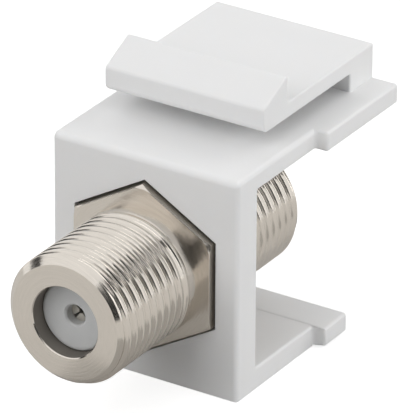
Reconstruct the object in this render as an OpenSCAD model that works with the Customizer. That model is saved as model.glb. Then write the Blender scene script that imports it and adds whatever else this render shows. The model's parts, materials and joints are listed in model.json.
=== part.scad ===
// Snap-in wall-plate insert with a double female coaxial coupler.
//
// A moulded body, open at its sides and back, clicks into the square opening of a wall plate.
// Its sprung latch arm carries a wedge-shaped catch above the roof. A turned coupler passes
// through the front wall: a hexagonal collar sits in a matching pocket so that it can't turn,
// and a thin nut behind the wall holds it there.
//
// X runs across the insert, Y from the room into the wall, and Z up. The origin is on the
// coupler's axis, in the plane of the insert's front face. Sizes are in millimetres.

/* [Body] */
// Width of the front face
face_w = 14.7; // [13.8:0.1:16]
// Height of the front face
face_h = 16.4; // [16.2:0.1:18]
// Height of the coupler's axis above the middle of the front face
axis_rise = 0.1; // [0:0.05:0.3]
// Thickness of the front wall
wall_t = 2.45; // [2:0.05:3]
// Thickness of the roof and its ears
roof_t = 1.45; // [1.2:0.05:1.6]
// Thickness of the floor
floor_t = 1.6; // [1.3:0.05:1.7]
// Length of the roof, from the front face to its rear edge
roof_len = 19; // [18:0.1:22]
// Length of the floor, from the front face to its rear edge
floor_len = 12.6; // [11.8:0.1:14]
// Radius on the front face's sides and on the roof's upper edges
edge_r = 0.35; // [0.2:0.05:0.5]
// Radius on the front face's upper edge
brow_r = 0.5; // [0.3:0.05:0.7]
// Radius on the ears, on the floor's rear edge and at the rear corners
trim_r = 0.2; // [0.1:0.05:0.3]
// Radius on the edges of the underside
under_r = 0.1; // [0.05:0.05:0.2]
// Radius in the inner corners of the moulding
inner_r = 0.3; // [0.1:0.05:0.5]

/* [Ears] */
// Distance from the front face to the front of the upper ears
upper_ear_y = 9.75; // [8.5:0.05:11]
// How far each upper ear stands out beyond the side of the body
upper_ear_out = 0.95; // [0.6:0.05:1.2]
// Distance from the front face to the front of the lower ears
lower_ear_y = 9.7; // [8.5:0.05:10.5]
// How far each lower ear stands out beyond the side of the body
lower_ear_out = 1; // [0.6:0.05:1.2]
// Thickness of the lower ears
lower_ear_t = 1.4; // [1:0.05:1.5]
// Step up in the floor where the lower ears begin
floor_step = 0.06; // [0.02:0.01:0.2]

/* [Latch] */
// Width of the latch arm, its catch and its web
arm_w = 12.6; // [10:0.1:13]
// Thickness of the latch arm
arm_t = 1.2; // [0.9:0.05:1.4]
// Gap between the roof and the latch arm
arm_gap = 1.35; // [1.2:0.05:1.8]
// Length of the web that carries the arm, along the roof
web_len = 3.05; // [2:0.05:3.5]
// Radius on the edges of the arm, the catch and the web
arm_r = 0.15; // [0.1:0.05:0.3]
// Distance from the front face to the front of the catch
catch_y = 4.8; // [3:0.1:6]
// Length of the catch, from its front to its upright rear face
catch_len = 3.05; // [2.5:0.05:4]
// Height of the upright front of the catch
catch_front_h = 1.8; // [1.4:0.05:2.2]
// Height of the catch's ridge above the latch arm
catch_rise = 2.05; // [1.2:0.1:2.5]
// Radius on the catch's ridge
ridge_r = 0.2; // [0.1:0.05:0.4]
// Radius under the front edge of the catch
catch_toe_r = 0.6; // [0.3:0.05:0.9]
// Running clearance of the arm's root in its seat
root_clearance = 0.05; // [0.03:0.01:0.1]

/* [Coupler] */
// Distance from the front face to the front end of the barrel
front_len = 9.7; // [8.5:0.1:12]
// Distance from the front face to the rear end of the barrel
rear_len = 12.3; // [11:0.1:16]
// Outside diameter of the thread
thread_d = 9.4; // [9.3:0.05:9.5]
// Pitch diameter of the thread, at which the nut grips it
pitch_d = 9; // [8.9:0.05:9.1]
// Outside diameter of the flat ring at the front end
ring_d = 8.25; // [7.8:0.05:8.6]
// Length of the taper between the front ring and the thread
front_taper = 0.5; // [0.3:0.05:0.8]
// Width of the chamfer at the rear end
rear_chamfer = 0.25; // [0.15:0.05:0.4]
// Width of the collar across its flats
collar_af = 10.8; // [10.6:0.1:11.2]
// How far the collar stands out of the front wall
collar_proud = 0.45; // [0.3:0.05:0.9]
// Depth of the collar's pocket in the front wall
pocket_depth = 1.15; // [0.8:0.05:1.4]
// Clearance between the collar and its pocket, across the flats
pocket_clearance = 0.4; // [0.1:0.05:0.5]
// Diameter of the collar's front face, where its corners are turned away
collar_face_d = 12; // [11.5:0.1:12.5]
// Diameter of the bore at both ends
bore_d = 5.1; // [4.6:0.1:5.6]
// Diameter of the step in the middle of the bore
land_d = 4.4; // [3:0.1:4.5]
// Length of the step in the middle of the bore
land_len = 4; // [2:0.5:6]

/* [Nut] */
// Width of the nut across its flats
nut_af = 11.1; // [10.8:0.1:11.4]
// Thickness of the nut
nut_t = 1.6; // [1.3:0.1:2]
// Diameter of the nut's rear face, where its corners are turned away
nut_face_d = 11.8; // [11.4:0.1:12.4]
// Clearance round the thread, in the nut and in the front wall, on the radius
thread_clearance = 0.03; // [0.02:0.01:0.08]

/* [Contact and insulators] */
// How far the insulators are set back in the bore
recess = 1.1; // [0.6:0.1:2]
// Diameter of the hole in each insulator's face
socket_d = 1.47; // [1.3:0.05:1.7]
// Length of that hole
socket_len = 0.9; // [0.6:0.1:1.5]
// Width of the funnel round that hole
funnel = 0.12; // [0.05:0.01:0.2]
// Diameter of the contact's spring ends
contact_d = 1.7; // [1.5:0.05:1.9]
// Diameter of the hole in the contact, for the centre wire
wire_d = 0.94; // [0.8:0.02:1.1]
// Depth of the contact's slots
slot_depth = 3.5; // [2:0.1:5]
// Width of the contact's slots
slot_w = 0.24; // [0.15:0.01:0.3]
// Room round the spring ends for them to open
spring_room = 0.15; // [0.1:0.05:0.3]
// How far the contact's collar reaches into each insulator
grip_len = 1.5; // [1:0.1:2]
// Clearance of one piece in another along the bore, on the radius
slip = 0.02; // [0.01:0.01:0.05]

/* [Hidden] */

$fn = 96;
over = 1;               // how far a cutting shape runs past what it cuts

top_z = face_h / 2 - axis_rise;
bottom_z = -face_h / 2 - axis_rise;
roof_under_z = top_z - roof_t;
floor_top_z = bottom_z + floor_t;
ear_floor_z = floor_top_z + floor_step;
side_x = face_w / 2;
arm_x = arm_w / 2;
upper_ear_x = side_x + upper_ear_out;
lower_ear_x = side_x + lower_ear_out;

arm_under_z = top_z + arm_gap;
arm_top_z = arm_under_z + arm_t;
arm_mid_z = (arm_under_z + arm_top_z) / 2;
web_y = roof_len - web_len;
catch_rear_y = catch_y + catch_len;
catch_front_z = arm_under_z + catch_front_h;
ridge_z = arm_top_z + catch_rise;
slope_rise = ridge_z - catch_front_z;
slope_angle = atan2(slope_rise, catch_len);

thread_r = thread_d / 2;
ring_r = ring_d / 2;
bore_r = bore_d / 2;
land_r = land_d / 2;
pitch_r = pitch_d / 2;
land_mid_y = (pocket_depth - collar_proud) / 2;
land_front_y = land_mid_y - land_len / 2;
land_rear_y = land_mid_y + land_len / 2;

insulator_r = bore_r - slip;
front_face_y = -front_len + recess;
rear_face_y = rear_len - recess;
socket_r = socket_d / 2;
contact_r = contact_d / 2;
wire_r = wire_d / 2;
chamber_r = contact_r + spring_room;
contact_front_y = front_face_y + socket_len + slip;
contact_rear_y = rear_face_y - socket_len - slip;

plastic = [0.93, 0.93, 0.92];
nickel = [0.74, 0.71, 0.67];
insulator_grey = [0.78, 0.79, 0.79];
tinned_bronze = [0.72, 0.7, 0.66];

// A flat outline given thickness along one of the three axes

module along_x(from, to) {
    translate([from, 0, 0])
        rotate([90, 0, 90])
            linear_extrude(to - from) children();
}

module along_y(from, to) {
    translate([0, to, 0])
        rotate([90, 0, 0])
            linear_extrude(to - from) children();
}

module along_z(from, to) {
    translate([0, 0, from])
        linear_extrude(to - from) children();
}

// A turned outline, with its radius as x and its place along the axis as y
module turned() {
    rotate([-90, 0, 0]) rotate_extrude() children();
}

module rect(lo, hi) {
    translate(lo) square([hi[0] - lo[0], hi[1] - lo[1]]);
}

// What is cut away to round a corner that points to +x and +y and lies at the origin
module corner_waste(r) {
    translate([-r, -r])
        difference() {
            square(r + over);
            circle(r);
        }
}

// What is added to round an inner corner whose walls lie on -x and -y
module corner_fill(r) {
    difference() {
        translate([-over, -over]) square(r + over);
        translate([r, r]) circle(r);
    }
}

// A rectangle with one radius at its two upper corners and another at the lower two
module soft_rect(lo, hi, upper_r, lower_r) {
    difference() {
        rect(lo, hi);
        translate(hi) corner_waste(upper_r);
        translate([lo[0], hi[1]]) rotate(90) corner_waste(upper_r);
        translate(lo) rotate(180) corner_waste(lower_r);
        translate([hi[0], lo[1]]) rotate(270) corner_waste(lower_r);
    }
}

// A block between two corners, with all its edges rounded
module soft_block(lo, hi, r) {
    intersection() {
        along_x(lo[0], hi[0]) soft_rect([lo[1], lo[2]], [hi[1], hi[2]], r, r);
        along_y(lo[1], hi[1]) soft_rect([lo[0], lo[2]], [hi[0], hi[2]], r, r);
        along_z(lo[2], hi[2]) soft_rect([lo[0], lo[1]], [hi[0], hi[1]], r, r);
    }
}

// The body's C-shaped section, with y to the right and z up.
// The roof stops inside the upper ears, which finish it.
module body_section() {
    difference() {
        rect([0, bottom_z], [upper_ear_y + over, top_z]);
        rect([wall_t, floor_top_z], [roof_len, roof_under_z]);
        translate([0, top_z]) rotate(90) corner_waste(brow_r);
        translate([0, bottom_z]) rotate(180) corner_waste(under_r);
    }
    difference() {
        rect([wall_t, bottom_z], [floor_len, floor_top_z]);
        translate([floor_len, floor_top_z]) corner_waste(trim_r);
        translate([floor_len, bottom_z]) rotate(270) corner_waste(under_r);
    }
    translate([wall_t, floor_top_z]) corner_fill(inner_r);
    translate([wall_t, roof_under_z]) mirror([0, 1]) corner_fill(inner_r);
}

module body_shell() {
    intersection() {
        along_x(-side_x, side_x) body_section();
        along_y(-over, roof_len)
            soft_rect([-side_x, bottom_z], [side_x, top_z], edge_r, under_r);
        along_z(bottom_z, top_z)
            soft_rect([-side_x, 0], [side_x, roof_len], trim_r, edge_r);
    }
}

module upper_ears() {
    soft_block([-upper_ear_x, upper_ear_y, roof_under_z], [upper_ear_x, roof_len, top_z], trim_r);
}

module lower_ears() {
    soft_block([-lower_ear_x, lower_ear_y, ear_floor_z - lower_ear_t],
        [lower_ear_x, floor_len, ear_floor_z], trim_r);
}

// The web stands on the roof and blends into it with a small radius in front
module latch_web() {
    foot_z = top_z - roof_t / 2;
    soft_block([-arm_x, web_y, foot_z], [arm_x, roof_len, arm_top_z], arm_r);
    along_x(arm_r - arm_x, arm_x - arm_r)
        translate([web_y, top_z]) mirror([1, 0]) corner_fill(inner_r);
}

// Half-round seat for the arm's root
module root_seat() {
    along_x(-arm_x - over, arm_x + over)
        translate([web_y, arm_mid_z]) circle(arm_t / 2 + root_clearance);
}

module hexagon(across_flats) {
    circle(across_flats / 2 / cos(30), $fn = 6);
}

// A hexagonal head with its face at y = 0 and its rear at y = thick.
// The corners are turned away at the face, which leaves a circle there.
module hex_head(across_flats, face_d, thick) {
    reach = across_flats;
    face_r = face_d / 2;
    intersection() {
        along_y(0, thick) hexagon(across_flats);
        turned()
            polygon([
                [0, 0],
                [face_r, 0],
                [reach, (reach - face_r) * tan(30)],
                [reach, thick + over],
                [0, thick + over]
            ]);
    }
}

module housing() {
    color(plastic)
        difference() {
            union() {
                body_shell();
                upper_ears();
                lower_ears();
                latch_web();
            }
            root_seat();
            along_y(-over, pocket_depth)
                rotate(90) hexagon(collar_af + pocket_clearance);
            along_y(-over, wall_t + over) circle(thread_r + thread_clearance);
        }
}

// The latch arm's section: a plate with a round root, and the catch at its front
module arm_section() {
    root_y = web_y + arm_t / 2;
    difference() {
        polygon([
            [catch_y, arm_under_z],
            [catch_y, catch_front_z],
            [catch_rear_y, ridge_z],
            [catch_rear_y, arm_top_z + inner_r],
            [catch_rear_y + inner_r, arm_top_z],
            [root_y, arm_top_z],
            [root_y, arm_under_z]
        ]);
        translate([catch_rear_y + inner_r, arm_top_z + inner_r]) circle(inner_r);
        translate([catch_y, arm_under_z]) rotate(180) corner_waste(catch_toe_r);
        translate([catch_rear_y, ridge_z]) rotate(slope_angle / 2) ridge_waste(ridge_r);
        translate([root_y, arm_top_z]) corner_waste(arm_t / 2);
        translate([root_y, arm_under_z]) rotate(270) corner_waste(arm_t / 2);
    }
}

// As corner_waste, for the ridge: its two faces meet at less than a right angle
module ridge_waste(r) {
    half = (90 - slope_angle) / 2;
    reach = r / sin(half);
    rotate(45)
        difference() {
            polygon([
                [over, 0],
                [-(reach - r * sin(half)), r * cos(half)],
                [-(reach - r * sin(half)), -r * cos(half)]
            ]);
            translate([-reach, 0]) circle(r);
        }
}

// Rounds the long edges of the arm and the catch on one side
module arm_edge_waste() {
    slope_len = catch_len / cos(slope_angle);
    translate([arm_x, 0, arm_top_z])
        along_y(catch_rear_y + arm_r, web_y + arm_t) corner_waste(arm_r);
    translate([arm_x, 0, arm_under_z])
        along_y(catch_y - over, web_y + arm_t) rotate(270) corner_waste(arm_r);
    translate([arm_x, catch_y, catch_front_z])
        rotate([slope_angle, 0, 0])
            along_y(-over, slope_len + over) corner_waste(arm_r);
    along_z(arm_under_z - over, ridge_z + over)
        translate([arm_x, catch_y]) rotate(270) corner_waste(arm_r);
}

module latch_arm() {
    color(plastic)
        difference() {
            along_x(-arm_x, arm_x) arm_section();
            for (side = [0, 1]) {
                mirror([side, 0, 0]) arm_edge_waste();
            }
        }
}

// Half of the shell's section: the barrel with its taper, chamfer and stepped bore.
// Where it passes through the wall and the nut it is drawn at its pitch diameter.
module barrel_section() {
    grip_end = wall_t + nut_t;
    polygon([
        [bore_r, -front_len],
        [ring_r, -front_len],
        [thread_r, -front_len + front_taper],
        [thread_r, -collar_proud],
        [pitch_r, -collar_proud],
        [pitch_r, grip_end],
        [thread_r, grip_end],
        [thread_r, rear_len - rear_chamfer],
        [thread_r - rear_chamfer, rear_len],
        [bore_r, rear_len],
        [bore_r, land_rear_y],
        [land_r, land_rear_y],
        [land_r, land_front_y],
        [bore_r, land_front_y]
    ]);
}

module coupler_shell() {
    color(nickel) {
        turned() barrel_section();
        difference() {
            translate([0, -collar_proud, 0])
                rotate([0, 90, 0])
                    hex_head(collar_af, collar_face_d, collar_proud + pocket_depth);
            along_y(-collar_proud - over, pocket_depth + over) circle(bore_r);
        }
    }
}

// The nut's flats face the roof and the floor, which it clears
module rear_nut() {
    rear_y = wall_t + nut_t;
    color(nickel)
        difference() {
            translate([0, rear_y, 0])
                mirror([0, 1, 0]) hex_head(nut_af, nut_face_d, nut_t);
            along_y(wall_t - over, rear_y + over) circle(pitch_r + thread_clearance);
        }
}

// Half of an insulator's section, from its face at y = 0 to its inner end.
// A funnel leads into the socket, and a wider chamber behind takes the contact.
module insulator_section(length) {
    polygon([
        [socket_r + funnel, 0],
        [insulator_r, 0],
        [insulator_r, length],
        [chamber_r, length],
        [chamber_r, socket_len],
        [socket_r, socket_len],
        [socket_r, funnel]
    ]);
}

module front_insulator() {
    color(insulator_grey)
        translate([0, front_face_y, 0])
            turned() insulator_section(land_front_y - front_face_y);
}

module rear_insulator() {
    color(insulator_grey)
        translate([0, rear_face_y, 0])
            mirror([0, 1, 0])
                turned() insulator_section(rear_face_y - land_rear_y);
}

// One spring end's slots, which run through it both ways
module contact_slots(tip_y, direction) {
    far_y = tip_y + direction * slot_depth;
    near_y = tip_y - direction * over;
    for (turn = [45, 135]) {
        rotate([0, turn, 0])
            along_y(min(far_y, near_y), max(far_y, near_y))
                rect([-contact_r - over, -slot_w / 2], [contact_r + over, slot_w / 2]);
    }
}

module centre_contact() {
    collar_front_y = land_front_y - grip_len;
    collar_rear_y = land_rear_y + grip_len;
    wire_depth = slot_depth + 1;
    color(tinned_bronze)
        difference() {
            union() {
                along_y(contact_front_y, contact_rear_y) circle(contact_r);
                along_y(collar_front_y, collar_rear_y) circle(chamber_r - slip);
            }
            along_y(contact_front_y - over, contact_front_y + wire_depth) circle(wire_r);
            along_y(contact_rear_y - wire_depth, contact_rear_y + over) circle(wire_r);
            contact_slots(contact_front_y, 1);
            contact_slots(contact_rear_y, -1);
        }
}

housing();
latch_arm();
coupler_shell();
rear_nut();
front_insulator();
rear_insulator();
centre_contact();
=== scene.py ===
# %% [markdown]
# # A coaxial wall-plate insert, dressed for the studio
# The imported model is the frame: it says how big each piece is and what it moves with.
# This script gives every piece its finished surface. White ABS plastic makes the moulded
# body and its sprung latch. Nickel-plated brass makes the threaded coupler and its nut.
# Milky plastic plugs hold the tinned contact in the middle.
# Lengths are written in millimetres and turned into Blender's metres where they are used.

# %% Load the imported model
import itertools
import json
import math

import bmesh
import bpy
from mathutils import Matrix, Vector

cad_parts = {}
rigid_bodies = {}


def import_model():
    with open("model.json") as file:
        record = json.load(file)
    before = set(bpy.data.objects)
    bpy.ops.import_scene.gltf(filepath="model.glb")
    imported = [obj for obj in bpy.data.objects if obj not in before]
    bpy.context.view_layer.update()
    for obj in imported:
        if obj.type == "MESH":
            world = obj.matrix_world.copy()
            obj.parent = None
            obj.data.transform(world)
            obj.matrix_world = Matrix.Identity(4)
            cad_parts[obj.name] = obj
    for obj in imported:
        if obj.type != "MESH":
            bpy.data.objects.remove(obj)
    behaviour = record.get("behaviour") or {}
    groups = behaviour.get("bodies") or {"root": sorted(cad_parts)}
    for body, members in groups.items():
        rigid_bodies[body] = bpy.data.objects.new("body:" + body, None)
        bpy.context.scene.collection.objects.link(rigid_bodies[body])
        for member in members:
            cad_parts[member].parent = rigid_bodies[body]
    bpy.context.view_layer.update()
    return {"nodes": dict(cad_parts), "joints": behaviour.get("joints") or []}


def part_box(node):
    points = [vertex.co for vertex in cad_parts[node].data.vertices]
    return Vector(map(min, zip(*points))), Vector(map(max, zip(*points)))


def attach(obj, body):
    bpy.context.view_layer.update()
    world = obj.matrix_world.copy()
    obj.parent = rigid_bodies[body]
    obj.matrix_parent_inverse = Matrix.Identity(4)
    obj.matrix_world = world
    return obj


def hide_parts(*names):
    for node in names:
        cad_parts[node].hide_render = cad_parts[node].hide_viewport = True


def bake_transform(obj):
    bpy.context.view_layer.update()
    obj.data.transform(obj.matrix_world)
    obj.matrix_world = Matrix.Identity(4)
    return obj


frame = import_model()
MM = 0.001

# %% [markdown]
# ## Sizes that the frame gives
# Each node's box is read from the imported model, so the dressed pieces follow it.
# X runs across the insert, Y goes into the wall, and the front face is at Y = 0.

# %% Read the nodes' boxes, in millimetres
def box_mm(node):
    low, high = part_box(node)
    return low / MM, high / MM


body_lo, body_hi = box_mm("housing")
arm_lo, arm_hi = box_mm("latch_arm")
shell_lo, shell_hi = box_mm("coupler_shell")
nut_lo, nut_hi = box_mm("rear_nut")
plug_lo, plug_hi = box_mm("front_insulator")
rear_plug_lo, rear_plug_hi = box_mm("rear_insulator")
contact_lo, contact_hi = box_mm("centre_contact")
latch_joint = frame["joints"][0]
pivot = Vector(latch_joint["pos_m"]) / MM
print("body", [round(v, 2) for v in (*body_lo, *body_hi)])

# %% [markdown]
# ## Camera
# The view was worked out from the photograph's straight edges and circles: a long lens,
# looking from the front right and from above. The photograph's frame is 400 by 414 pixels,
# and the sensor's 36 mm lie along its longer side.

# %% Set the camera
VIEW_AZIMUTH = 32.17      # degrees, from straight in front towards the right
VIEW_ELEVATION = 26.63    # degrees above the horizon
VIEW_ROLL = 0.31          # degrees
VIEW_DISTANCE = 415.5     # mm, from the point that the camera looks at
VIEW_TARGET = Vector((0.585, 5.995, 2.062))
LENS = 535.5              # mm
SENSOR = 36               # mm, along the picture's longer side


def view_axes(azimuth, elevation, roll):
    az, el, tilt = (math.radians(a) for a in (azimuth, elevation, roll))
    back = Vector((math.sin(az) * math.cos(el), -math.cos(az) * math.cos(el), math.sin(el)))
    right = Vector((math.cos(az), math.sin(az), 0))
    up = back.cross(right)
    return (
        right * math.cos(tilt) + up * math.sin(tilt),
        up * math.cos(tilt) - right * math.sin(tilt),
        back,
    )


def facing_part(azimuth, elevation, roll, distance, centre):
    """Where a camera, lamp or card stands when it looks at a point. Lengths are in mm."""
    right, up, back = view_axes(azimuth, elevation, roll)
    return Matrix.Translation((centre + back * distance) * MM) @ (
        Matrix((right, up, back)).transposed().to_4x4()
    )


def make_camera():
    data = bpy.data.cameras.new("camera")
    data.lens = LENS
    data.sensor_width = SENSOR
    camera = bpy.data.objects.new("camera", data)
    camera.matrix_world = facing_part(
        VIEW_AZIMUTH, VIEW_ELEVATION, VIEW_ROLL, VIEW_DISTANCE, VIEW_TARGET
    )
    bpy.context.scene.collection.objects.link(camera)
    bpy.context.scene.camera = camera
    return camera


print("camera at", [round(v, 3) for v in make_camera().location])

# %% [markdown]
# ## Helpers for node trees
# Materials, the world and the Geometry Nodes trees are all made of nodes. One function adds
# a node, sets its properties, and fills or links its sockets by name or number.
# Colours are written as sRGB hex, as a designer picks them, and turned to linear light here.

# %% Nodes, colours and materials
MIX_FIRST, MIX_SECOND, MIX_RESULT = 6, 7, 2   # the Mix node's sockets for colours


def linear(hex_colour):
    """sRGB hex such as #EFEFED to linear red, green, blue and alpha."""
    channels = [int(hex_colour[i : i + 2], 16) / 255 for i in (1, 3, 5)]
    return (*(c / 12.92 if c <= 0.04045 else ((c + 0.055) / 1.055) ** 2.4 for c in channels), 1)


def add_node(tree, kind, settings=None, inputs=None):
    node = tree.nodes.new(kind)
    for name, value in (settings or {}).items():
        setattr(node, name, value)
    for socket, value in (inputs or {}).items():
        if isinstance(value, bpy.types.NodeSocket):
            tree.links.new(value, node.inputs[socket])
        else:
            node.inputs[socket].default_value = value
    return node


def new_material(name, **shader):
    """A material with a Principled shader. Returns the material, its tree and the shader."""
    material = bpy.data.materials.new(name)
    material.use_nodes = True
    tree = material.node_tree
    tree.nodes.clear()
    bsdf = add_node(tree, "ShaderNodeBsdfPrincipled", inputs=shader)
    add_node(tree, "ShaderNodeOutputMaterial", inputs={"Surface": bsdf.outputs[0]})
    return material, tree, bsdf


def noise(tree, place, size, detail):
    """Noise whose largest blotches are about size millimetres wide."""
    inputs = {"Vector": place, "Scale": 1 / (size * MM), "Detail": detail}
    return add_node(tree, "ShaderNodeTexNoise", inputs=inputs).outputs[0]


def set_tone(tree, bsdf, share, dark, pale):
    """Let the base colour wander between two tones."""
    tone = add_node(
        tree,
        "ShaderNodeMix",
        {"data_type": "RGBA"},
        {"Factor": share, MIX_FIRST: linear(dark), MIX_SECOND: linear(pale)},
    )
    tree.links.new(tone.outputs[MIX_RESULT], bsdf.inputs["Base Color"])


def set_bump(tree, bsdf, height, strength, depth):
    """Add fine relief. Its depth is in millimetres."""
    bump = add_node(
        tree,
        "ShaderNodeBump",
        inputs={"Height": height, "Strength": strength, "Distance": depth * MM},
    )
    tree.links.new(bump.outputs[0], bsdf.inputs["Normal"])


print("white is", [round(v, 3) for v in linear("#FFFFFF")])

# %% [markdown]
# ## White ABS, injection moulded
# ABS comes out of a spark-eroded mould with a fine satin grain. Light soaks in a little
# before it comes back, which softens the edges. The grain is finer than a pixel on the real
# part, so it is drawn a little coarser, 0.12 mm, and the tone wanders by a hair over several
# millimetres, as melt cools unevenly.

# %% Make the white ABS
ABS_GRAIN = 0.12          # mm
ABS_CLOUD = 6.0           # mm


def white_abs():
    material, tree, bsdf = new_material(
        "white_abs_satin",
        **{
            "Roughness": 0.42,
            "Specular IOR Level": 0.42,
            "Subsurface Weight": 0.12,
            "Subsurface Radius": (1.0, 0.9, 0.8),
            "Subsurface Scale": 0.4 * MM,
        },
    )
    place = add_node(tree, "ShaderNodeTexCoord").outputs["Object"]
    set_tone(tree, bsdf, noise(tree, place, ABS_CLOUD, 2.0), "#F0F0F0", "#F3F3F3")
    set_bump(tree, bsdf, noise(tree, place, ABS_GRAIN, 3.0), 0.12, 0.01)
    return material


ABS = white_abs()
print("made", ABS.name)

# %% [markdown]
# ## Nickel plate on turned brass
# The coupler is turned from hexagonal brass bar and then plated. Nickel is a warm, slightly
# yellow metal. The tool leaves rings on every turned face, about 0.07 mm apart, and the
# plating shows them as fine lines that stretch the reflections across them. The rings
# follow the radius on flat faces and the length on the barrel, so both feed the pattern.
# There are three finishes: the bright turned faces, the flats of the drawn bar, duller and
# darkened with painted shade, and the rough bore, darkened with painted shade inside it.

# %% Make the turned nickel
MARKS_PER_MM = 14         # blotches of the marks' noise, along the radius and the length
DRIFT_PER_MM = 1.2        # the same around the axis, where the marks change slowly
MARK_DEPTH = 0.01         # mm


def ring_place(tree, turns_per_mm, drift_per_mm):
    """Coordinates for turning marks: fast along the radius and the length, slow around."""
    place = add_node(tree, "ShaderNodeTexCoord").outputs["Object"]
    split = add_node(tree, "ShaderNodeSeparateXYZ", inputs={0: place})
    flat = add_node(tree, "ShaderNodeCombineXYZ", inputs={0: split.outputs[0], 2: split.outputs[2]})
    radius = add_node(tree, "ShaderNodeVectorMath", {"operation": "LENGTH"}, {0: flat.outputs[0]})
    across = add_node(
        tree,
        "ShaderNodeCombineXYZ",
        inputs={0: radius.outputs["Value"], 1: split.outputs[1]},
    )
    fast, slow = (
        add_node(
            tree,
            "ShaderNodeVectorMath",
            {"operation": "SCALE"},
            {0: vector.outputs[0], "Scale": per_mm / MM},
        )
        for vector, per_mm in ((across, turns_per_mm), (flat, drift_per_mm))
    )
    return add_node(
        tree, "ShaderNodeVectorMath", {"operation": "ADD"}, {0: fast.outputs[0], 1: slow.outputs[0]}
    ).outputs[0]


def nickel(name, dark, pale, roughness, mark_strength):
    material, tree, bsdf = new_material(
        name, **{"Metallic": 1.0, "Anisotropic": 0.8, "Anisotropic Rotation": 0.25}
    )
    place = ring_place(tree, MARKS_PER_MM, DRIFT_PER_MM)
    marks = add_node(
        tree, "ShaderNodeTexNoise", inputs={"Vector": place, "Scale": 1.0, "Detail": 3.0}
    ).outputs[0]
    rough = add_node(
        tree,
        "ShaderNodeMapRange",
        inputs={"Value": marks, "To Min": roughness * 0.8, "To Max": roughness * 1.25},
    )
    around = add_node(tree, "ShaderNodeTangent", {"direction_type": "RADIAL", "axis": "Y"})
    tree.links.new(around.outputs[0], bsdf.inputs["Tangent"])
    tree.links.new(rough.outputs[0], bsdf.inputs["Roughness"])
    set_tone(tree, bsdf, marks, dark, pale)
    set_bump(tree, bsdf, marks, mark_strength, MARK_DEPTH)
    return material


NICKEL = nickel("turned_nickel_plate", "#D2CCC3", "#E6DFD6", 0.16, 0.5)
# The flats' darker tone is painted shade; their duller finish is their own.
FLATS_NICKEL_WITH_PAINTED_SHADE = nickel("hexagon_flats_nickel_with_painted_shade", "#A8A299", "#BDB7AD", 0.34, 0.1)
# The bore's darker tone is painted shade inside the hollow; its rough finish is its own.
BORE_NICKEL_WITH_PAINTED_SHADE = nickel("bore_nickel_with_painted_shade", "#85807A", "#948F88", 0.5, 0.3)
print("made", NICKEL.name, FLATS_NICKEL_WITH_PAINTED_SHADE.name, BORE_NICKEL_WITH_PAINTED_SHADE.name)

# %% [markdown]
# ## Milky polyethylene and tinned bronze
# The plugs that hold the contact are moulded in natural polyethylene: grey-white, waxy, and
# lit from inside, because light travels a millimetre or so through it. The contact is
# stamped from phosphor bronze and plated with dull grey tin.

# %% Make the insulator's plastic and the contact's tin
MILKY_CLOUD = 1.2         # mm


def milky_polyethylene():
    material, tree, bsdf = new_material(
        "milky_polyethylene",
        **{
            "Roughness": 0.36,
            "Subsurface Weight": 0.6,
            "Subsurface Radius": (1.0, 1.0, 1.0),
            "Subsurface Scale": 0.6 * MM,
        },
    )
    place = add_node(tree, "ShaderNodeTexCoord").outputs["Object"]
    cloud = noise(tree, place, MILKY_CLOUD, 3.0)
    set_tone(tree, bsdf, cloud, "#CACBCB", "#D5D5D4")
    set_bump(tree, bsdf, cloud, 0.2, 0.03)
    return material


MILKY = milky_polyethylene()
TINNED = nickel("tinned_bronze_strip", "#BDB9B0", "#D8D4CB", 0.45, 0.2)
print("made", MILKY.name, TINNED.name)

# %% [markdown]
# ## The moulded body
# The body is one moulding: a front wall, a roof and a floor that reach back from it, and
# ears that widen both at the rear, so that it can't be pushed through the wall plate.
# Its edges are rounded, because the mould's edges are. The plain form is drawn as a grid of
# cells, and a face is kept only where a full cell meets an empty one, which gives one
# closed skin. Dissolving the flat joints and bevelling what is left rounds every edge at
# its own radius. The pocket for the hexagon and the hole for the barrel are cut last.

# %% Sizes of the moulding, in millimetres
FACE_W = 14.7             # width of the front wall
WALL_T = 2.45             # thickness of the front wall
ROOF_T = 1.45             # thickness of the roof
FLOOR_T = 1.6             # thickness of the floor
ARM_GAP = 1.35            # height of the gap under the latch arm
UPPER_EAR_Y = 9.75        # front of the upper ears
UPPER_EAR_OUT = 0.95      # how far the upper ears stand out from the body's sides
LOWER_EAR_Y = 9.7
LOWER_EAR_T = 1.4
FLOOR_LEN = 12.6
EDGE_R = 0.35             # radius of the face's sides and of the roof's upper edges
BROW_R = 0.5              # radius of the face's upper edge
TRIM_R = 0.2              # radius of the ears, the rear edges and the open sides
UNDER_R = 0.1             # radius of the underside's edges
INNER_R = 0.3             # radius of its inner corners
STEP_Y = 9.7              # front of the floor's raised rear part
STEP_H = 0.04
STEP_RUN = 4 * STEP_H     # length over which the step rises
POCKET_DEPTH = 1.15       # depth of the hexagon pocket in the front wall
POCKET_AF = 11.2          # its width across flats
HOLE_D = 9.46             # hole for the threaded barrel
HOLE_SIDES = 96
ROUND_STEPS = 5           # faces across each rounded edge
SHARP_TURN = 60           # degrees; edges that turn less aren't rounded

roof_z = arm_lo.z - ARM_GAP
roof_under_z = roof_z - ROOF_T
floor_z = body_lo.z + FLOOR_T
lower_ear_z = floor_z + STEP_H - LOWER_EAR_T
print("roof top at", round(roof_z, 2), "mm, floor top at", round(floor_z, 2), "mm")


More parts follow.
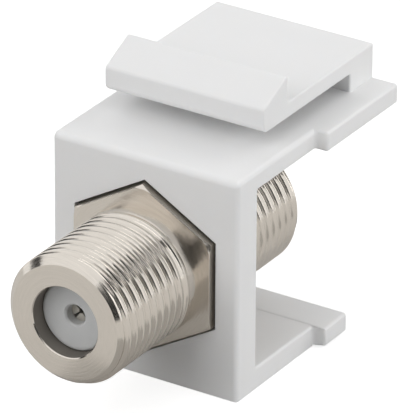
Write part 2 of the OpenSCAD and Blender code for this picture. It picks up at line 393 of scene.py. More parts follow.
# %% Draw a union of boxes as one closed skin
def box_union(boxes):
    """A bmesh around the union of boxes, each given as (x, x, y, y, z, z) in millimetres."""
    cuts = [sorted({box[axis * 2 + end] for box in boxes for end in (0, 1)}) for axis in range(3)]
    counts = [len(cut) - 1 for cut in cuts]

    def full(cell):
        if any(i < 0 or i >= n for i, n in zip(cell, counts)):
            return False
        middle = [(cuts[a][cell[a]] + cuts[a][cell[a] + 1]) / 2 for a in range(3)]
        return any(all(box[2 * a] < middle[a] < box[2 * a + 1] for a in range(3)) for box in boxes)

    mesh = bmesh.new()
    corners = {}

    def corner(index):
        if index not in corners:
            corners[index] = mesh.verts.new([cuts[a][index[a]] * MM for a in range(3)])
        return corners[index]

    for cell in itertools.product(*(range(count) for count in counts)):
        for axis in range(3):
            for side in (0, 1):
                beyond = tuple(c + (2 * side - 1) * (a == axis) for a, c in enumerate(cell))
                if not full(cell) or full(beyond):
                    continue
                first, second = (axis + 1) % 3, (axis + 2) % 3
                ring = []
                for step in ((0, 0), (1, 0), (1, 1), (0, 1)):
                    index = list(cell)
                    index[axis] += side
                    index[first] += step[0]
                    index[second] += step[1]
                    ring.append(corner(tuple(index)))
                mesh.faces.new(ring if side else ring[::-1])
    mesh.normal_update()
    bmesh.ops.dissolve_limit(mesh, angle_limit=0.01, verts=mesh.verts, edges=mesh.edges)
    return mesh


print("box_union ready")


# %% Build the body's form and weigh its edges
def edge_radius(edge):
    """The radius that the mould gives an edge, by which way it turns and where it lies."""
    turn = edge.calc_face_angle_signed(0)
    ends = [vert.co / MM for vert in edge.verts]

    def lies_on(axis, place):
        return all(abs(abs(end[axis]) - abs(place)) < 1e-3 for end in ends)

    if abs(turn) < math.radians(SHARP_TURN):
        return 0
    if turn < 0:
        return 0 if lies_on(2, lower_ear_z) else INNER_R
    if lies_on(2, body_lo.z):
        return UNDER_R
    if lies_on(1, 0):
        return BROW_R if lies_on(2, roof_z) else EDGE_R
    if lies_on(2, roof_z) and lies_on(0, FACE_W / 2):
        return EDGE_R
    return TRIM_R


def body_form():
    half = FACE_W / 2
    upper = half + UPPER_EAR_OUT
    form = box_union(
        [
            (-half, half, 0, WALL_T, body_lo.z, roof_z),
            (-half, half, 0, body_hi.y, roof_under_z, roof_z),
            (-half, half, 0, FLOOR_LEN, body_lo.z, floor_z),
            (-upper, upper, UPPER_EAR_Y, body_hi.y, roof_under_z, roof_z),
            (body_lo.x, body_hi.x, LOWER_EAR_Y, FLOOR_LEN, lower_ear_z, floor_z),
        ]
    )

    def on_floor(point):
        return abs(point.z - floor_z * MM) < 1e-6

    for cut_y in (STEP_Y, STEP_Y + STEP_RUN):
        low = [f for f in form.faces if on_floor(f.calc_center_median())]
        around = {e for f in low for e in f.edges} | {v for f in low for v in f.verts} | set(low)
        bmesh.ops.bisect_plane(
            form, geom=list(around), plane_co=(0, cut_y * MM, 0), plane_no=(0, 1, 0)
        )
    for vert in form.verts:
        if on_floor(vert.co) and vert.co.y > (STEP_Y + STEP_RUN / 2) * MM:
            vert.co.z += STEP_H * MM
    form.normal_update()
    weight = form.edges.layers.float.new("bevel_weight_edge")
    for edge in form.edges:
        edge[weight] = edge_radius(edge) / BROW_R
    return form


form = body_form()
print("plain form:", len(form.verts), "corners", len(form.faces), "faces")


# %% [markdown]
# ## From form to finished mesh
# Modifiers round and cut the form, and the result is read back as a plain mesh. Edges
# sharper than 30 degrees stay crisp, and weighted normals keep the large flats flat next to
# their rounded edges.

# %% Helpers that make an object and apply its modifiers
def new_object(name, source, materials):
    """An object made from a bmesh or a mesh, with its materials in order."""
    if isinstance(source, bmesh.types.BMesh):
        mesh = bpy.data.meshes.new(name)
        source.to_mesh(mesh)
        source.free()
    else:
        mesh = source
        mesh.name = name
        mesh.materials.clear()
    piece = bpy.data.objects.new(name, mesh)
    bpy.context.scene.collection.objects.link(piece)
    for material in materials:
        mesh.materials.append(material)
    return piece


def apply_modifiers(piece):
    """Swap the mesh for the evaluated one and drop the modifiers."""
    depsgraph = bpy.context.evaluated_depsgraph_get()
    plain = bpy.data.meshes.new_from_object(piece.evaluated_get(depsgraph), depsgraph=depsgraph)
    plain.name = piece.name
    piece.modifiers.clear()
    piece.data = plain
    return piece


def shade(piece, sharp_angle=30):
    """Smooth shading with crisp edges, and flats that stay flat."""
    for polygon in piece.data.polygons:
        polygon.use_smooth = True
    piece.data.set_sharp_from_angle(angle=math.radians(sharp_angle))
    weighted = piece.modifiers.new("flats", "WEIGHTED_NORMAL")
    weighted.keep_sharp = True
    return apply_modifiers(piece)


def wire_up(piece, nodes, body=None):
    """Hide the nodes that the piece stands for, and hang it on the body that it rides on, if one is
    given.
    """
    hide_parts(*nodes)
    if body:
        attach(piece, body)
    return piece


print("helpers ready")


# %% Round the body and cut the pocket and the hole
def hexagon_point(angle, across_flats, corner_angle):
    """Radius of a hexagon in a direction. Its corners lie at corner_angle plus sixths."""
    off = (angle - corner_angle) % math.radians(60) - math.radians(30)
    return across_flats / 2 / math.cos(off)


def cutter(name, radii, y_from, y_to):
    """A prism along Y with one radius for each of its equal turns."""
    mesh = bmesh.new()
    ends = []
    for y in (y_from, y_to):
        angles = [2 * math.pi * i / len(radii) for i in range(len(radii))]
        ends.append(
            [
                mesh.verts.new((r * math.cos(a) * MM, y * MM, r * math.sin(a) * MM))
                for r, a in zip(radii, angles)
            ]
        )
    for i in range(len(radii)):
        j = (i + 1) % len(radii)
        mesh.faces.new((ends[0][i], ends[0][j], ends[1][j], ends[1][i]))
    mesh.faces.new(ends[0])
    mesh.faces.new(ends[1])
    bmesh.ops.recalc_face_normals(mesh, faces=mesh.faces)
    return new_object(name, mesh, [])


HEX_CORNER = math.radians(90)
body_skin = new_object("moulded_body", form, [ABS])
rounding = body_skin.modifiers.new("rounding", "BEVEL")
rounding.width = BROW_R * MM
rounding.limit_method = "WEIGHT"
rounding.segments = ROUND_STEPS
rounding.use_clamp_overlap = False
apply_modifiers(body_skin)
cutters = [
    cutter("pocket", [POCKET_AF / math.sqrt(3)] * 6, -1, POCKET_DEPTH),
    cutter("hole", [HOLE_D / 2] * HOLE_SIDES, 0, WALL_T + 1),
]
cutters[0].data.transform(Matrix.Rotation(math.radians(30), 4, "Y"))
for tool in cutters:
    cut = body_skin.modifiers.new(tool.name, "BOOLEAN")
    cut.object = tool
    cut.solver = "EXACT"
apply_modifiers(body_skin)
for tool in cutters:
    bpy.data.objects.remove(tool)
shade(body_skin)
wire_up(body_skin, ["housing"], "housing")
print("moulded_body:", len(body_skin.data.vertices), "points")

# %% [markdown]
# ## The sprung latch
# The latch is a flat arm that starts at a web on the roof and ends in a wedge. The wedge
# snaps behind the wall plate, and the arm bends down at its root when it is pushed in.
# It is drawn as an outline seen from the side, with an arc at every corner, and drawn out
# across the width. Its rims shrink along a quarter circle at both ends, so that every edge
# is round. Points are set along the outline, no more than half a millimetre apart.

# %% Outline with rounded corners
ARC_STEP = math.radians(11)
REACH = 0.5               # mm, the longest straight stretch between two points
RIM_STEPS = 4             # faces across each quarter-circle rim


def rounded_outline(corners):
    """Points along a closed outline. Each corner is (y, z, radius), in millimetres."""
    points = []
    for i, (y, z, radius) in enumerate(corners):
        here = Vector((y, z))
        back = (Vector(corners[i - 1][:2]) - here).normalized()
        ahead = (Vector(corners[(i + 1) % len(corners)][:2]) - here).normalized()
        half = back.angle(ahead) / 2
        centre = here + (back + ahead).normalized() * radius / math.sin(half)
        start = here + back * radius / math.tan(half) - centre
        sweep = math.copysign(math.pi - 2 * half, back.x * ahead.y - back.y * ahead.x)
        count = max(1, math.ceil(abs(sweep) / ARC_STEP))
        for k in range(count + 1):
            turn = Matrix.Rotation(-sweep * k / count, 2)
            points.append(centre + turn @ start)
    spaced = []
    for here, ahead in zip(points, points[1:] + points[:1]):
        count = max(1, math.ceil((ahead - here).length / REACH))
        spaced += [here.lerp(ahead, k / count) for k in range(count)]
    return spaced


def rounded_prism(outline, half_width, rim):
    """Draw an outline in Y and Z out along X, with quarter-circle rims at both ends."""
    count = len(outline)
    inward = []
    for i, here in enumerate(outline):
        along = (outline[(i + 1) % count] - outline[i - 1]).normalized()
        inward.append(Vector((-along.y, along.x)))
    if sum(a.x * b.y - a.y * b.x for a, b in zip(outline, outline[1:] + outline[:1])) < 0:
        inward = [-side for side in inward]
    steps = [math.radians(90) * k / RIM_STEPS for k in range(RIM_STEPS + 1)]
    rims = [(half_width - rim * (1 - math.cos(t)), rim * (1 - math.sin(t))) for t in steps]
    rows = [(-x, inset) for x, inset in rims] + [(x, inset) for x, inset in reversed(rims)]
    mesh = bmesh.new()
    rings = [
        [
            mesh.verts.new(Vector((x, *(here + side * inset))) * MM)
            for here, side in zip(outline, inward)
        ]
        for x, inset in rows
    ]
    for ring, beyond in zip(rings, rings[1:]):
        for i in range(count):
            j = (i + 1) % count
            mesh.faces.new((ring[i], ring[j], beyond[j], beyond[i]))
    mesh.faces.new(rings[0])
    mesh.faces.new(rings[-1])
    bmesh.ops.recalc_face_normals(mesh, faces=mesh.faces)
    return mesh


print("outline helpers ready")

# %% Draw the latch
RIM_R = 0.15              # radius of the latch's side edges
WEDGE_FRONT_H = 1.8       # height of the wedge's upright front
WEDGE_LEN = 3.05
RIDGE_RISE = 2.05         # from the arm to where the wedge's slope and back would meet
FOOT_SINK = 0.4           # how far the web reaches into the roof
REAR_INSET = 0.005        # keeps the web's rear face off the body's own

arm_under_z, arm_top_z = arm_lo.z, body_hi.z
web_y = pivot.y
web_back_y = body_hi.y - REAR_INSET
wedge_back_y = arm_lo.y + WEDGE_LEN
latch_outline = rounded_outline(
    [
        (arm_lo.y, arm_under_z, 0.6),
        (arm_lo.y, arm_under_z + WEDGE_FRONT_H, 0.3),
        (wedge_back_y, arm_top_z + RIDGE_RISE, 0.22),
        (wedge_back_y, arm_top_z, 0.3),
        (web_back_y, arm_top_z, RIM_R),
        (web_back_y, roof_z - FOOT_SINK, 0.2),
        (web_y, roof_z - FOOT_SINK, 0.2),
        (web_y, arm_under_z, 0.15),
    ]
)
latch = new_object("sprung_latch", rounded_prism(latch_outline, arm_hi.x, RIM_R), [ABS])
shade(latch)
wire_up(latch, ["latch_arm"])
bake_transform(latch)
print("sprung_latch:", len(latch.data.vertices), "points")

# %% [markdown]
# ## The threaded barrel
# Both ends of the coupler carry the 3/8-32 thread of every screw-on coaxial plug: 32 turns
# to the inch, 60 degrees between its flanks. It is shallow, with wide crests, and it runs out
# gently into a plain shoulder at the collar. A thread follows a rule, so Geometry Nodes make
# it. A flat grid is wrapped around the barrel and sheared by one pitch, so that its rows run
# along the helix. Each point's distance from the nearest crest sets its radius. Both ends
# are turned down to a cone, as the die needs, and the rows past an end collapse onto it.
# The crests wander by a hundredth of a millimetre, as they do where plating has filled tool
# marks.

# %% Build the thread's node tree
WELD = 0.002              # mm; points nearer than this become one


def thread_tree():
    tree = bpy.data.node_groups.new("rolled_thread", "GeometryNodeTree")
    lengths = (
        ("Pitch", 0.794),
        ("Crest radius", 4.7),
        ("Depth", 0.27),
        ("Crest half", 0.135),
        ("Flank run", 0.156),
        ("Start", 0.0),
        ("End", 8),
        ("Start radius", 4.2),
        ("End radius", 4.2),
        ("Run-out radius", 0.0),
        ("Crest place", 0.0),
        ("Wear", 0.012),
    )
    sizes = [(name, "NodeSocketFloat", length * MM) for name, length in lengths] + [
        ("Cone slope", "NodeSocketFloat", 1.0),
        ("Run-out slope", "NodeSocketFloat", 0.28),
        ("Seed", "NodeSocketFloat", 3.0),
        ("Columns", "NodeSocketInt", 144),
        ("Rows per turn", "NodeSocketInt", 16),
        ("Finish", "NodeSocketMaterial", None),
    ]
    face = tree.interface
    face.new_socket("Geometry", in_out="OUTPUT", socket_type="NodeSocketGeometry")
    for name, kind, value in sizes:
        socket = face.new_socket(name, in_out="INPUT", socket_type=kind)
        if value is not None:
            socket.default_value = value
    given = add_node(tree, "NodeGroupInput").outputs
    place = add_node(tree, "GeometryNodeInputPosition").outputs[0]
    split = add_node(tree, "ShaderNodeSeparateXYZ", inputs={0: place})
    value = {name: given[name] for name, _, _ in sizes}
    value.update(across=split.outputs[0], along=split.outputs[1])
    steps = (
        ("around", "ADD", "across", 0.5),
        ("row", "ADD", "along", 0.5),
        ("length", "SUBTRACT", "End", "Start"),
        ("length in turns", "DIVIDE", "length", "Pitch"),
        ("whole turns", "CEIL", "length in turns", 0),
        ("turns", "ADD", "whole turns", 2),
        ("first offset", "SUBTRACT", "Start", "Crest place"),
        ("first turns", "DIVIDE", "first offset", "Pitch"),
        ("first", "FLOOR", "first turns", 0),
        ("row turns", "MULTIPLY", "row", "turns"),
        ("from crest", "ADD", "row turns", "first"),
        ("sheared", "SUBTRACT", "from crest", "around"),
        ("rise", "MULTIPLY", "sheared", "Pitch"),
        ("free y", "ADD", "rise", "Crest place"),
        ("y past start", "MAXIMUM", "free y", "Start"),
        ("y", "MINIMUM", "y past start", "End"),
        ("y offset", "SUBTRACT", "y", "Crest place"),
        ("y turns", "DIVIDE", "y offset", "Pitch"),
        ("phase", "ADD", "y turns", "around"),
        ("crest distance", "PINGPONG", "phase", 0.5),
        ("off crest", "MULTIPLY", "crest distance", "Pitch"),
        ("down flank", "SUBTRACT", "off crest", "Crest half"),
        ("flank share", "DIVIDE", "down flank", "Flank run"),
        ("not above", "MAXIMUM", "flank share", 0.0),
        ("share", "MINIMUM", "not above", 1.0),
        ("fall", "MULTIPLY", "share", "Depth"),
        ("thread radius", "SUBTRACT", "Crest radius", "fall"),
        ("past start", "SUBTRACT", "y", "Start"),
        ("start rise", "MULTIPLY", "past start", "Cone slope"),
        ("start cone", "ADD", "start rise", "Start radius"),
        ("before end", "SUBTRACT", "End", "y"),
        ("end rise", "MULTIPLY", "before end", "Cone slope"),
        ("end cone", "ADD", "end rise", "End radius"),
        ("run-out fall", "MULTIPLY", "before end", "Run-out slope"),
        ("run-out", "SUBTRACT", "Run-out radius", "run-out fall"),
        ("angle", "MULTIPLY", "around", 2 * math.pi),
        ("cosine", "COSINE", "angle", 0),
        ("sine", "SINE", "angle", 0),
        ("crest share", "SUBTRACT", 1.0, "share"),
    )

    def run(recipe):
        for name, operation, first, second in recipe:
            value[name] = add_node(
                tree,
                "ShaderNodeMath",
                {"operation": operation},
                {0: value.get(first, first), 1: value.get(second, second)},
            ).outputs[0]

    run(steps)
    spot = add_node(
        tree,
        "ShaderNodeCombineXYZ",
        inputs={0: value["cosine"], 1: value["y turns"], 2: value["sine"]},
    )
    value["noise"] = add_node(
        tree,
        "ShaderNodeTexNoise",
        {"noise_dimensions": "4D"},
        {"Vector": spot.outputs[0], "W": value["Seed"], "Scale": 9.0, "Detail": 3.0},
    ).outputs[0]
    run(
        (
            ("crest noise", "MULTIPLY", "noise", "crest share"),
            ("loss", "MULTIPLY", "crest noise", "Wear"),
            ("worn radius", "SUBTRACT", "thread radius", "loss"),
            ("over run-out", "MAXIMUM", "worn radius", "run-out"),
            ("in start", "MINIMUM", "over run-out", "start cone"),
            ("radius", "MINIMUM", "in start", "end cone"),
            ("x", "MULTIPLY", "radius", "cosine"),
            ("z", "MULTIPLY", "radius", "sine"),
            ("row steps", "MULTIPLY", "turns", "Rows per turn"),
            ("row count", "ADD", "row steps", 1),
            ("column count", "ADD", "Columns", 1),
        )
    )
    grid = add_node(
        tree,
        "GeometryNodeMeshGrid",
        inputs={
            "Size X": 1.0,
            "Size Y": 1.0,
            "Vertices X": value["column count"],
            "Vertices Y": value["row count"],
        },
    )
    wrapped = add_node(
        tree, "ShaderNodeCombineXYZ", inputs={0: value["x"], 1: value["y"], 2: value["z"]}
    )
    moved = add_node(
        tree,
        "GeometryNodeSetPosition",
        inputs={"Geometry": grid.outputs[0], "Position": wrapped.outputs[0]},
    )
    welded = add_node(
        tree,
        "GeometryNodeMergeByDistance",
        inputs={"Geometry": moved.outputs[0], "Distance": WELD * MM},
    )
    smooth = add_node(tree, "GeometryNodeSetShadeSmooth", inputs={"Geometry": welded.outputs[0]})
    real = add_node(tree, "GeometryNodeRealizeInstances", inputs={0: smooth.outputs[0]})
    finished = add_node(
        tree,
        "GeometryNodeSetMaterial",
        inputs={"Geometry": real.outputs[0], "Material": value["Finish"]},
    )
    add_node(tree, "NodeGroupOutput", inputs={0: finished.outputs[0]})
    return tree


THREAD_TREE = thread_tree()
print("thread tree has", len(THREAD_TREE.nodes), "nodes")


# %% Sizes of the turned coupler, in millimetres
PITCH = 0.794             # 32 turns to the inch
CREST_R = 4.7
THREAD_DEPTH = 0.27       # shallow, with wide crests, as rolled threads are
CREST_W = 0.27
FLANK_ANGLE = 30          # degrees, half of the angle between two flanks
CREST_Y = -9.05           # where a crest stands CREST_TURN from the +X side
CREST_TURN = 40           # degrees
RING_R = 4.125            # outer radius of the front ring face
REAR_RING_R = 4.45
SHOULDER_LEN = 1.2        # plain length between the front thread and the collar
BORE_R = 2.55
LAND_R = 2.2              # narrower middle of the bore, between the two plugs
COLLAR_BACK_Y = POCKET_DEPTH
COLLAR_FACE_Y = -0.45
COLLAR_FACE_R = 6.0       # the collar's corners are turned off outside this radius
COLUMNS = 144

collar_af = shell_hi.x - shell_lo.x
root_r = CREST_R - THREAD_DEPTH
shoulder_y = COLLAR_FACE_Y - SHOULDER_LEN
print("collar across flats", round(collar_af, 2), "mm")


# %% Make both threads
def thread(name, start_y, end_y, start_r, end_r, run_out_r, crest_y):
    """One threaded length as a plain mesh. All lengths are in millimetres."""
    blank = bpy.data.objects.new(name, bpy.data.meshes.new(name))
    bpy.context.scene.collection.objects.link(blank)
    maker = blank.modifiers.new("thread", "NODES")
    maker.node_group = THREAD_TREE
    wanted = {
        "Pitch": PITCH * MM,
        "Crest radius": CREST_R * MM,
        "Depth": THREAD_DEPTH * MM,
        "Crest half": CREST_W / 2 * MM,
        "Flank run": THREAD_DEPTH * math.tan(math.radians(FLANK_ANGLE)) * MM,
        "Start": start_y * MM,
        "End": end_y * MM,
        "Start radius": start_r * MM,
        "End radius": end_r * MM,
        "Run-out radius": run_out_r * MM,
        "Crest place": crest_y * MM,
        "Columns": COLUMNS,
        "Finish": NICKEL,
    }
    for item in THREAD_TREE.interface.items_tree:
        if item.in_out == "INPUT" and item.name in wanted:
            maker[item.identifier] = wanted[item.name]
    return apply_modifiers(blank)


CREST_AT_X = CREST_Y + PITCH * CREST_TURN / 360   # a crest crosses the +X side here
threads = [
    thread("front_thread", shell_lo.y, shoulder_y, RING_R, CREST_R, CREST_R, CREST_AT_X),
    thread("rear_thread", COLLAR_BACK_Y, shell_hi.y, root_r, REAR_RING_R, 0, CREST_AT_X),
]
print("thread points:", [len(t.data.vertices) for t in threads])

# %% [markdown]
# ## One turned coupler
# The coupler is one piece of brass, so it is one closed mesh: the two threads are welded to
# rings that draw the collar, the shoulder, the ring face and the bore. Each ring is a list of
# radius and length for every column. The collar is a hexagon whose corners are turned off
# at 30 degrees, and its face keeps a fine burr line where tool and flat meet.

# %% Rings of points around the barrel
CORNER_ANGLE = 30         # degrees, the slope at which a hexagon's corners are turned off
CRISP_ANGLE = 26          # degrees; sharper edges stay crisp


def ring(radius, y):
    """A ring given by a radius and a place along Y, which are numbers or functions of the angle."""
    points = []
    for i in range(COLUMNS):
        angle = 2 * math.pi * i / COLUMNS
        r = radius(angle) if callable(radius) else radius
        at = y(angle) if callable(y) else y
        points.append((r * math.cos(angle) * MM, at * MM, r * math.sin(angle) * MM))
    return points


def add_rings(mesh, rings, material=0):
    """Skin between rings, each of which has a point for every column."""
    loops = [[mesh.verts.new(point) for point in points] for points in rings]
    for here, ahead in zip(loops, loops[1:]):
        for i in range(COLUMNS):
            j = (i + 1) % COLUMNS
            mesh.faces.new((here[i], here[j], ahead[j], ahead[i])).material_index = material
    return loops


def hexagon_rings(across_flats, face_r, face_y, back_y, corner_angle, edge):
    """Rings of a turned hexagon: the face's edge, burr and corners, and the flats by themselves."""
    inward = math.copysign(1, back_y - face_y)
    fall = math.tan(math.radians(CORNER_ANGLE))

    def side(angle):
        return hexagon_point(angle, across_flats, corner_angle)

    face = [
        ring(lambda a: min(side(a), face_r) - edge, face_y),
        ring(lambda a: min(side(a), face_r), face_y + inward * edge * 0.5),
        ring(side, lambda a: face_y + inward * (edge + max(0, side(a) - face_r) * fall)),
    ]
    return face, [face[-1], ring(side, back_y)]


def close_mesh(mesh, smooth_zone=None):
    """Weld, point all faces outwards, and mark the crisp edges outside the threads."""
    bmesh.ops.remove_doubles(mesh, verts=mesh.verts, dist=WELD * MM)
    bmesh.ops.recalc_face_normals(mesh, faces=mesh.faces)
    for face in mesh.faces:
        face.smooth = True
    for edge in mesh.edges:
        if edge.calc_face_angle(0) > math.radians(CRISP_ANGLE):
            edge.smooth = bool(smooth_zone and all(smooth_zone(v.co / MM) for v in edge.verts))


print("ring helpers ready")

# %% Weld the coupler
BURR = 0.05               # mm
MOUTH = 0.07              # mm, chamfer at the mouths of the bore
SKIN = 0.02               # mm, how far below the root the threads' own points may lie


def close_rear_face(mesh):
    """Join the two open rims at the rear, column by column."""
    rims = ({}, {})
    for vert in {v for edge in mesh.edges if edge.is_boundary for v in edge.verts}:
        turn = math.atan2(vert.co.z, vert.co.x) / (2 * math.pi)
        outer = math.hypot(vert.co.x, vert.co.z) > (BORE_R + root_r) / 2 * MM
        rims[outer][round(turn * COLUMNS) % COLUMNS] = vert
    inner, outer = rims
    for i in range(COLUMNS):
        j = (i + 1) % COLUMNS
        mesh.faces.new((inner[i], inner[j], outer[j], outer[i]))


def coupler_mesh():
    mesh = bmesh.new()
    for part in threads:
        mesh.from_mesh(part.data)
    for skin in mesh.faces:
        skin.material_index = 0
    face, flats = hexagon_rings(
        collar_af, COLLAR_FACE_R, COLLAR_FACE_Y, COLLAR_BACK_Y, HEX_CORNER, BURR
    )
    add_rings(
        mesh,
        [ring(CREST_R, shoulder_y), ring(CREST_R, COLLAR_FACE_Y), *face],
    )
    # Material 1, the flats, is darkened with painted shade.
    add_rings(mesh, flats, material=1)
    add_rings(mesh, [flats[-1], ring(root_r, COLLAR_BACK_Y)])
    front_y, rear_y = shell_lo.y, shell_hi.y
    land_front, land_rear = plug_hi.y, rear_plug_lo.y
    bore = [
        ring(BORE_R, front_y + MOUTH),
        ring(BORE_R, land_front),
        ring(LAND_R, land_front),
        ring(LAND_R, land_rear),
        ring(BORE_R, land_rear),
        ring(BORE_R, rear_y - MOUTH),
    ]
    add_rings(mesh, [ring(RING_R, front_y), ring(BORE_R + MOUTH, front_y), bore[0]])
    # Material 2, the bore, is darkened with painted shade.
    add_rings(mesh, bore, material=2)
    add_rings(mesh, [bore[-1], ring(BORE_R + MOUTH, rear_y)])
    bmesh.ops.remove_doubles(mesh, verts=mesh.verts, dist=WELD * MM)
    close_rear_face(mesh)
    print("bore rings", len(bore), "open edges left", sum(edge.is_boundary for edge in mesh.edges))
    close_mesh(
        mesh,
        lambda p: math.hypot(p.x, p.z) > root_r - SKIN
        and not shoulder_y < p.y < COLLAR_BACK_Y,
    )
    return mesh


coupler = new_object("threaded_coupler", coupler_mesh(), [NICKEL, FLATS_NICKEL_WITH_PAINTED_SHADE, BORE_NICKEL_WITH_PAINTED_SHADE])
for part in threads:
    bpy.data.objects.remove(part)
wire_up(coupler, ["coupler_shell"], "housing")
print("threaded_coupler:", len(coupler.data.vertices), "points")

# %% [markdown]
# ## The thin nut behind the wall
# A thin hexagonal nut clamps the collar into its pocket. It is turned and plated like the
# coupler, so the same rings draw it, with its flats towards the roof and the floor.

# %% Make the nut
NUT_AF = nut_hi.z - nut_lo.z
NUT_FACE_R = 5.9


def nut_mesh():
    mesh = bmesh.new()
    bore = CREST_R - THREAD_DEPTH / 2
    face, flats = hexagon_rings(NUT_AF, NUT_FACE_R, nut_hi.y, nut_lo.y, 0, BURR)
    add_rings(mesh, [ring(bore + MOUTH, nut_hi.y), *face])
    # Material 1, the flats, is darkened with painted shade.
    add_rings(mesh, flats, material=1)
    hole = [
        ring(bore, nut_lo.y),
        ring(bore, nut_hi.y - MOUTH),
        ring(bore + MOUTH, nut_hi.y),
    ]
    add_rings(mesh, [flats[-1], *hole])
    close_mesh(mesh)
    return mesh


nut = new_object("thin_hexagon_nut", nut_mesh(), [NICKEL, FLATS_NICKEL_WITH_PAINTED_SHADE])
wire_up(nut, ["rear_nut"], "housing")
print("thin_hexagon_nut:", len(nut.data.vertices), "points")

# %% [markdown]
# ## The milky plugs
# Each plug is a moulded disc with a hole that guides the centre wire. Its rim is round, its
# face is a shallow bowl, where the plastic shrank, and the hole starts with a small funnel.
# The profile is turned around the axis: it goes from the outer edge to the hole, through the
# hole, and back along the contact's chamber.

# %% Make the plugs
GUIDE_R = 0.735           # hole for the centre wire
FUNNEL = 0.12             # chamfer around the hole
DISH = 0.12               # depth of the shallow bowl of the plug's face
CHAMBER_R = 0.85          # the chamber that holds the contact
GUIDE_LEN = 0.9
PLUG_RIM_R = 0.2          # radius of the plug's outer edge
PLUG_RIM_STEP = 15        # degrees between two points of that edge
BOWL_STEPS = 8


def plug_mesh(face_y, back_y, outer_r):
    inward = math.copysign(1, back_y - face_y)
    lip_r = GUIDE_R + FUNNEL
    flat_r = outer_r - PLUG_RIM_R
    profile = [(outer_r, back_y)]
    for k in range(90 // PLUG_RIM_STEP + 1):
        turn = math.radians(PLUG_RIM_STEP * k)
        profile.append(
            (
                flat_r + PLUG_RIM_R * math.cos(turn),
                face_y + inward * PLUG_RIM_R * (1 - math.sin(turn)),
            )
        )
    for k in range(1, BOWL_STEPS + 1):
        share = k / BOWL_STEPS
        dip = DISH * share * (2 - share)
        profile.append((flat_r + (lip_r - flat_r) * share, face_y + inward * dip))
    profile += [
        (GUIDE_R, face_y + inward * (DISH + FUNNEL)),
        (GUIDE_R, face_y + inward * GUIDE_LEN),
        (CHAMBER_R, face_y + inward * GUIDE_LEN),
        (CHAMBER_R, back_y),
        (outer_r, back_y),
    ]
    mesh = bmesh.new()
    add_rings(mesh, [ring(r, y) for r, y in profile])
    close_mesh(mesh)
    return mesh


for name, node, face_y, back_y, high in (
    ("front_plug", "front_insulator", plug_lo.y, plug_hi.y, plug_hi),
    ("rear_plug", "rear_insulator", rear_plug_hi.y, rear_plug_lo.y, rear_plug_hi),
):
    plug = new_object(name, plug_mesh(face_y, back_y, high.x), [MILKY])
    wire_up(plug, [node], "housing")
    print(name, "is", round(abs(back_y - face_y), 2), "mm long")

# %% [markdown]
# ## The spring contact
# The contact's slotted ends are springs, and their leaves lean together so that they grip a
# wire of any size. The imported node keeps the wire's full size free between them. The
# photograph shows nearly closed leaves, so its mesh is copied here and the rims of its two
# holes are drawn in.

# %% Close the contact's leaves
WIRE_R = 0.47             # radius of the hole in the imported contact
REST_R = 0.2              # radius that the closed leaves leave free
TIP_DEPTH = 0.01          # points this close to an end belong to its rim
RIM_SLACK = 0.02          # and lie at most this far outside the hole's radius


def closed_contact():
    source = frame["nodes"]["centre_contact"]
    mesh = source.data.copy()
    mesh.transform(source.matrix_world)
    for vert in mesh.vertices:
        x, y, z = vert.co / MM
        at_tip = min(y - contact_lo.y, contact_hi.y - y) < TIP_DEPTH
        if at_tip and math.hypot(x, z) < WIRE_R + RIM_SLACK:
            vert.co.x *= REST_R / WIRE_R
            vert.co.z *= REST_R / WIRE_R
    return mesh


contact = shade(new_object("spring_contact", closed_contact(), [TINNED]))
wire_up(contact, ["centre_contact"], "housing")
print("contact reaches from", round(contact_lo.y, 2), "to", round(contact_hi.y, 2), "mm")

# %% [markdown]
# ## Floor, surroundings and lamps
# The part stands on a pale table in a white studio. To the camera and to reflections, table
# and surroundings are white. They give no diffuse light of their own, so the lamps shape the
# form. Nickel shows what stands around it, so some things are there for reflections alone.
# Black cards in front, behind, above and at the left draw the dark lines that tell metal
# from plastic, and a dimmer card in front tones the thread's flanks. Paper lies under the part,
# and a grey card under the barrel is a painted shadow of the barrel in the reflections.
# An arched strip light draws a bright line along the barrel.

# %% Make the floor
FLOOR_SIZE = 700          # mm
FLOOR_TONE = "#BEBEBE"
FLOOR_GLOW = 0.76


def seen_directly(tree):
    """One for rays from the camera, off shiny faces and through clear ones, else zero."""
    rays = add_node(tree, "ShaderNodeLightPath").outputs
    seen = rays["Is Camera Ray"]
    for other in ("Is Glossy Ray", "Is Transmission Ray"):
        seen = add_node(
            tree, "ShaderNodeMath", {"operation": "MAXIMUM"}, {0: seen, 1: rays[other]}
        ).outputs[0]
    return seen


def floor_material():
    material = bpy.data.materials.new("pale_table")
    material.use_nodes = True
    tree = material.node_tree
    tree.nodes.clear()
    strength = add_node(
        tree, "ShaderNodeMath", {"operation": "MULTIPLY"}, {0: seen_directly(tree), 1: FLOOR_GLOW}
    )
    glow = add_node(tree, "ShaderNodeEmission", inputs={"Strength": strength.outputs[0]})
    matt = add_node(tree, "ShaderNodeBsdfDiffuse", inputs={"Color": linear(FLOOR_TONE)})
    both = add_node(tree, "ShaderNodeAddShader", inputs={0: glow.outputs[0], 1: matt.outputs[0]})
    add_node(tree, "ShaderNodeOutputMaterial", inputs={"Surface": both.outputs[0]})
    return material


def plane(name, width, height, matrix, material):
    mesh = bmesh.new()
    bmesh.ops.create_grid(mesh, x_segments=1, y_segments=1, size=0.5 * MM)
    piece = new_object(name, mesh, [material])
    piece.data.transform(matrix @ Matrix.Diagonal((width, height, 1, 1)))
    return piece


plane(
    "table", FLOOR_SIZE, FLOOR_SIZE, Matrix.Translation((0, 0, body_lo.z * MM)), floor_material()
)
print("table at", round(body_lo.z, 2), "mm")


# %% Place the cards and the strip light
def card_material(name, tone):
    return new_material(name, **{"Base Color": linear(tone), "Roughness": 0.9})[0]


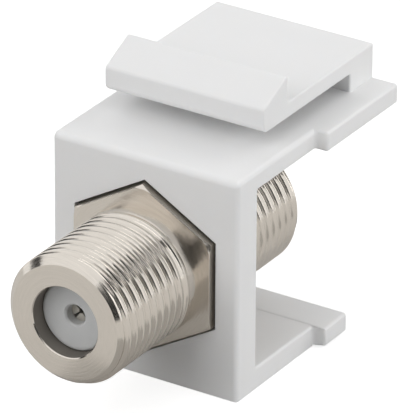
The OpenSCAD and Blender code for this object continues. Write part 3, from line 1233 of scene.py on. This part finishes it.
BLACK = card_material("black_card", "#161616")
DIM = card_material("dim_card", "#605E5B")
REFLECTED_SHADOW_GREY = card_material("painted_shadow_grey_card", "#BAB8B5")
PAPER = card_material("matt_paper", "#E8E6E3")
CARDS = (
    # name, azimuth, elevation, roll, distance, width and height in mm, material
    ("front_card", 47, 20, 0, 120, 62, 120, BLACK),
    ("brow_card", 5, 20, 0, 120, 48, 30, BLACK),
    ("dim_front_card", 21, 5, 0, 122, 44, 40, DIM),
    ("rear_card", 153, 34, 47, 250, 120, 260, BLACK),
    ("high_card", 110, 52, 77, 250, 58, 120, BLACK),
    ("left_card", -66, 15, 0, 250, 200, 60, BLACK),
)
WHITE = (1, 1, 1, 1)
ARCH_STEP = 5             # degrees between two points of the strip light
reflected = [
    plane(name, width, height, facing_part(azimuth, elevation, roll, distance, Vector()), material)
    for name, azimuth, elevation, roll, distance, width, height, material in CARDS
]
SHEETS = (
    # name, width and height, place of the middle in mm, material
    ("paper", (400, 400), (0, 0, body_lo.z + 0.02), PAPER),
    # painted shadow: a grey card where the barrel's shadow falls, seen in reflections only
    ("painted_shadow_card", (22, 18), (6.5, -10, body_lo.z + 0.04), REFLECTED_SHADOW_GREY),
)
for name, size, place, material in SHEETS:
    reflected.append(plane(name, *size, Matrix.Translation(Vector(place) * MM), material))


def light_arch(radius, y_from, y_to, first, last, material):
    """A strip that arches over the part's axis. Its angles run from +X towards +Z, in degrees."""
    mesh = bmesh.new()
    rows = []
    for degrees in range(first, last + 1, ARCH_STEP):
        turn = math.radians(degrees)
        out = Vector((math.cos(turn), 0, math.sin(turn))) * radius
        rows.append([mesh.verts.new((out + Vector((0, y, 0))) * MM) for y in (y_from, y_to)])
    for here, ahead in zip(rows, rows[1:]):
        mesh.faces.new((here[0], here[1], ahead[1], ahead[0]))
    arch = new_object("light_arch", mesh, [material])
    return arch


STRIP = new_material("strip_light", **{"Emission Color": WHITE, "Emission Strength": 1.9})[0]
reflected.append(
    light_arch(radius=250, y_from=-64, y_to=-28, first=5, last=105, material=STRIP)
)
for card in reflected:
    card.visible_camera = card.visible_diffuse = card.visible_shadow = False
    card.visible_transmission = False
print("seen in reflections only:", [card.name for card in reflected])

# %% Light the world
world = bpy.data.worlds.new("studio")
world.use_nodes = True
bpy.context.scene.world = world
sky_tree = world.node_tree
sky_tree.nodes.clear()
sky = add_node(
    sky_tree,
    "ShaderNodeBackground",
    inputs={"Color": WHITE, "Strength": seen_directly(sky_tree)},
)
add_node(sky_tree, "ShaderNodeOutputWorld", inputs={"Surface": sky.outputs[0]})
print("world nodes:", len(world.node_tree.nodes))

# %% Hang the lamps
LAMPS = (
    # name, azimuth, elevation, distance in mm, size in mm, watts
    ("front_softbox", -22, 35, 450, 420, 1.28),
    ("right_softbox", 90, 14, 420, 330, 0.9),
    ("top_softbox", 60, 74, 420, 320, 0.41),
    ("rear_softbox", 150, 32, 420, 300, 0.6),
    ("left_softbox", -120, 45, 420, 300, 0.42),
)
for name, azimuth, elevation, distance, size, watts in LAMPS:
    data = bpy.data.lights.new(name, "AREA")
    data.shape = "SQUARE"
    data.size = size * MM
    data.energy = watts
    lamp = bpy.data.objects.new(name, data)
    lamp.matrix_world = facing_part(azimuth, elevation, 0, distance, VIEW_TARGET)
    lamp.visible_glossy = False
    bpy.context.scene.collection.objects.link(lamp)
print("lamps:", [lamp[0] for lamp in LAMPS])

# %% Plain colour management
bpy.context.scene.view_settings.view_transform = "Standard"
